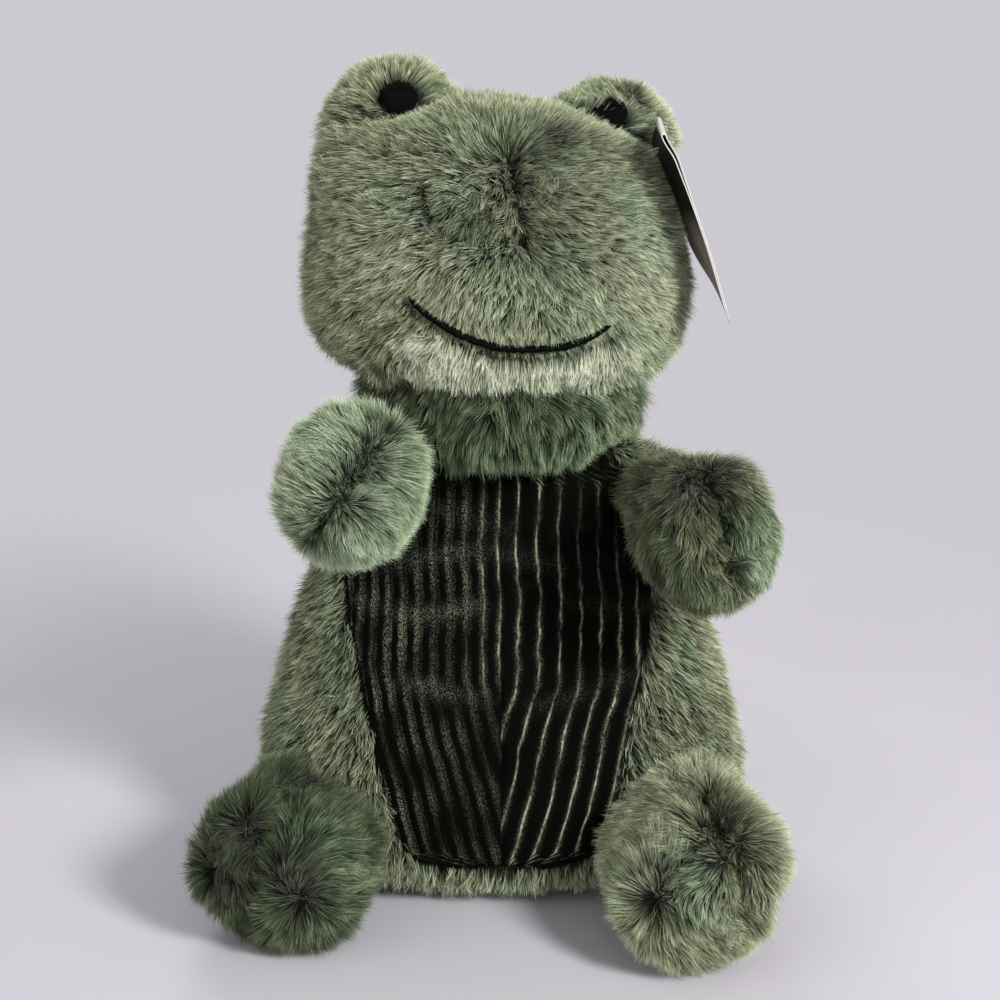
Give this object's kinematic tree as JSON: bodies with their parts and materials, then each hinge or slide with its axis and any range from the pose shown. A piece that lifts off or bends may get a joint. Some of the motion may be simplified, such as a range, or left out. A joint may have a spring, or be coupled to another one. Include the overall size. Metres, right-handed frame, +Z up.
{
  "type": "plush frog",
  "caption": "Seated plush frog in long green pile with raised eye domes, a stitched smile, a ribbed velvet belly, raised paws and a folded hang tag.",
  "frame": {"origin": "middle of the flat patch that the seat stands on", "axes": "+Z up, -Y the way the belly faces, +X the frog's own left"},
  "size_m": [0.2103, 0.1763, 0.3042],
  "materials": {
    "fur": "long clumping pile, matt",
    "chin_fur": "long pile, matt, in shade",
    "lip_fur": "long straight pile, matt",
    "corduroy": "wide wale velvet with fine bright lines",
    "black_thread": "satin stitched thread",
    "green_thread": "matt sewing thread",
    "fibre": "loose fibre filling",
    "pellet_cloth": "plain woven cloth",
    "card": "smooth printed card, left plain",
    "clear_plastic": "cloudy moulded plastic"
  },
  "bodies": {
    "torso": {"torso_skin": "fur", "belly_panel": "corduroy", "torso_stuffing": "fibre", "pellet_bag": "pellet_cloth", "closing_stitch": "green_thread"},
    "neck": {"neck_skin": "chin_fur", "neck_stuffing": "fibre"},
    "head": {"face_skin": "fur", "lip_skin": "lip_fur", "head_back_skin": "fur", "head_stuffing": "fibre", "mouth_stitch": "black_thread", "left_eye_dome": "fur", "right_eye_dome": "fur", "left_eye_stuffing": "fibre", "right_eye_stuffing": "fibre", "left_pupil": "black_thread", "right_pupil": "black_thread", "tag_fastener": "clear_plastic"},
    "tag": {"hang_tag": "card"},
    "left_arm": {"left_arm_skin": "fur", "left_arm_stuffing": "fibre"},
    "right_arm": {"right_arm_skin": "fur", "right_arm_stuffing": "fibre"},
    "left_leg": {"left_leg_skin": "fur", "left_leg_stuffing": "fibre"},
    "right_leg": {"right_leg_skin": "fur", "right_leg_stuffing": "fibre"}
  },
  "joints": [
    {"name": "neck_turn", "type": "hinge", "parent": "torso", "child": "neck", "pos_m": [0, 0.008, 0.176], "axis": [0, 0, 1], "range_deg": [-20, 20], "stiffness_Nm_per_rad": 1.5},
    {"name": "head_nod", "type": "hinge", "parent": "neck", "child": "head", "pos_m": [0, 0.008, 0.176], "axis": [0.9907, 0.1045, -0.0867], "range_deg": [-12, 15], "stiffness_Nm_per_rad": 1.5},
    {"name": "tag_swing", "type": "hinge", "parent": "head", "child": "tag", "pos_m": [0.0589, -0.01089, 0.27725], "axis": [0.9324, -0.047, 0.3585], "range_deg": [-15, 20]},
    {"name": "left_arm_lift", "type": "hinge", "parent": "torso", "child": "left_arm", "pos_m": [0.056, 0.008, 0.139], "axis": [0.9816, 0.1908, 0], "range_deg": [-20, 25], "stiffness_Nm_per_rad": 0.4},
    {"name": "right_arm_lift", "type": "hinge", "parent": "torso", "child": "right_arm", "pos_m": [-0.056, 0.008, 0.139], "axis": [0.9976, 0.0698, 0], "range_deg": [-3, 35], "stiffness_Nm_per_rad": 0.4},
    {"name": "left_leg_lift", "type": "hinge", "parent": "torso", "child": "left_leg", "pos_m": [0.057, -0.008, 0.0355], "axis": [0.9877, 0.1564, 0], "range_deg": [-25, 8], "stiffness_Nm_per_rad": 0.6},
    {"name": "right_leg_lift", "type": "hinge", "parent": "torso", "child": "right_leg", "pos_m": [-0.057, -0.008, 0.0355], "axis": [0.9455, -0.3256, 0], "range_deg": [-25, 8], "stiffness_Nm_per_rad": 0.6}
  ]
}
